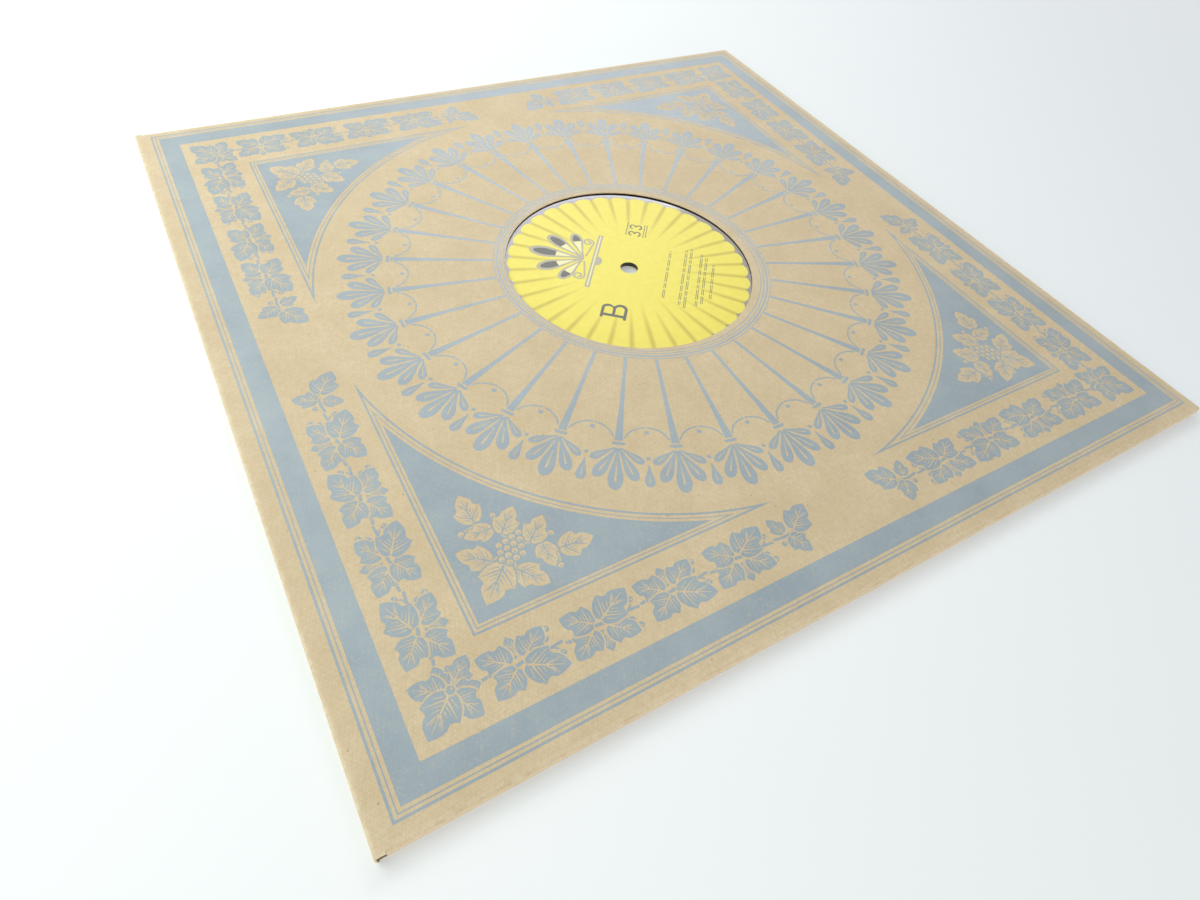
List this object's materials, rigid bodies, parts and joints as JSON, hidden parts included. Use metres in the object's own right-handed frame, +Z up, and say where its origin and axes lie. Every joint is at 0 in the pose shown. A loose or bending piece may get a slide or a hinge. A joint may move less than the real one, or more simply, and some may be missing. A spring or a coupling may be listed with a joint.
{
  "type": "vinyl record",
  "caption": "Grooved disc with a round paper label on each side, in a paper inner sleeve and a flat square card jacket with a round window; both slide out of the open side.",
  "frame": {"origin": "on the table, under the middle of the jacket's back panel", "axes": "+X towards the open mouth, away from the spine; +Y towards the head of the jacket; +Z up, out through the front panel"},
  "size_m": [0.3164, 0.315, 0.0039],
  "materials": {
    "kraft_card": "matt uncoated brown card, printed in one blue-grey ink on the front",
    "sleeve_paper": "matt white wood-free paper",
    "dried_glue": "dried water-based glue",
    "black_vinyl": "pressed glossy black vinyl with fine grooves",
    "label_paper": "semi-matt printed label paper, pressed into the disc"
  },
  "bodies": {
    "jacket": {"jacket_front_panel": "kraft_card", "jacket_spine": "kraft_card", "jacket_back_panel": "kraft_card", "jacket_head_edge": "kraft_card", "jacket_foot_edge": "kraft_card", "jacket_head_flap": "kraft_card", "jacket_foot_flap": "kraft_card", "head_glue_line": "dried_glue", "foot_glue_line": "dried_glue"},
    "inner_sleeve": {"sleeve_front_leaf": "sleeve_paper", "sleeve_fold": "sleeve_paper", "sleeve_back_leaf": "sleeve_paper", "sleeve_head_turn": "sleeve_paper", "sleeve_foot_turn": "sleeve_paper", "sleeve_head_seam": "sleeve_paper", "sleeve_foot_seam": "sleeve_paper", "head_paste_line": "dried_glue", "foot_paste_line": "dried_glue"},
    "record": {"vinyl_disc": "black_vinyl", "label_side_a": "label_paper", "label_side_b": "label_paper"}
  },
  "joints": [
    {"name": "sleeve_slide", "type": "slide", "parent": "jacket", "child": "inner_sleeve", "axis": [1, 0, 0], "range_m": [0, 0.31]},
    {"name": "record_slide", "type": "slide", "parent": "inner_sleeve", "child": "record", "axis": [1, 0, 0], "range_m": [0, 0.302]}
  ]
}
